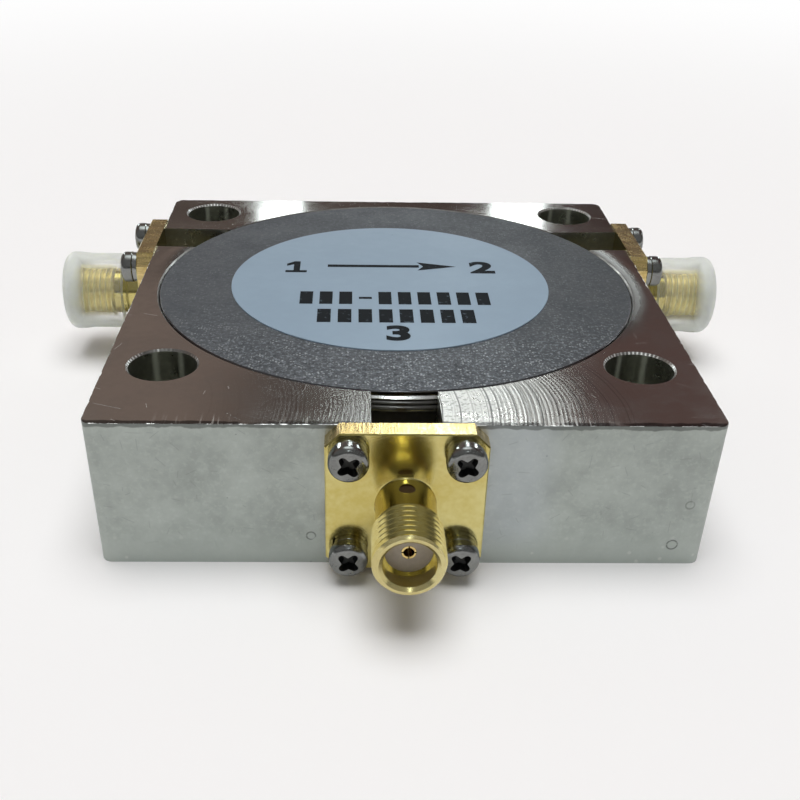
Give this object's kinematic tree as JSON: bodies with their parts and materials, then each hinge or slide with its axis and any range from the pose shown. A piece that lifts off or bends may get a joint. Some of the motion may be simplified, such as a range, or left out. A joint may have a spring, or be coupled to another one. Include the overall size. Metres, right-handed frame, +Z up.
{
  "type": "rf circulator",
  "caption": "Low square steel block with a round screwed-in cover over its ferrite junction, coaxial jacks bolted to its sides, corner mounting holes and dust caps.",
  "frame": {"origin": "centre of the four mounting holes, on the underside of the block", "axes": "+Z up out of the cover, +X from port 1 to port 2, -Y out of port 3 at the front"},
  "size_m": [0.0812, 0.0722, 0.0152],
  "materials": {
    "nickel_block": "nickel plated milled steel, satin sides, bright top with arcs of milling",
    "cover_steel": "dark zinc-nickel plated disc, fine speckle and scratches",
    "label_film": "pale blue-grey film with dark grey print of numerals and bars",
    "soft_steel": "plain ground steel",
    "magnet": "ground ferrite magnet",
    "ferrite": "ground garnet ferrite, dark",
    "moulded_ring": "moulded fluoropolymer",
    "conductor": "bright copper strip",
    "capacitor": "buff ceramic block",
    "gold_plate": "gold plate over brass, bright with fine turning marks",
    "insulator": "milky white fluoropolymer, machined",
    "epoxy": "dark cast epoxy",
    "screw_steel": "bright stainless steel",
    "cap_plastic": "soft translucent polyethylene"
  },
  "bodies": {
    "root": {"housing": "nickel_block", "cover": "cover_steel", "label": "label_film", "compensation_shim": "soft_steel", "lower_magnet": "magnet", "lower_pole_plate": "soft_steel", "lower_ferrite": "ferrite", "lower_spacer_ring": "moulded_ring", "centre_conductor": "conductor", "upper_spacer_ring": "moulded_ring", "upper_ferrite": "ferrite", "upper_pole_plate": "soft_steel", "upper_magnet": "magnet", "capacitor_1": "capacitor", "capacitor_2": "capacitor", "capacitor_3": "capacitor", "port_1_jack": "gold_plate", "port_1_insulator": "insulator", "port_1_contact": "gold_plate", "port_1_epoxy_lock": "epoxy", "port_1_screws": "screw_steel", "port_1_lock_washers": "screw_steel", "port_1_dust_cap": "cap_plastic", "port_2_jack": "gold_plate", "port_2_insulator": "insulator", "port_2_contact": "gold_plate", "port_2_epoxy_lock": "epoxy", "port_2_screws": "screw_steel", "port_2_lock_washers": "screw_steel", "port_2_dust_cap": "cap_plastic", "port_3_jack": "gold_plate", "port_3_insulator": "insulator", "port_3_contact": "gold_plate", "port_3_epoxy_lock": "epoxy", "port_3_screws": "screw_steel", "port_3_lock_washers": "screw_steel"}
  },
  "joints": []
}
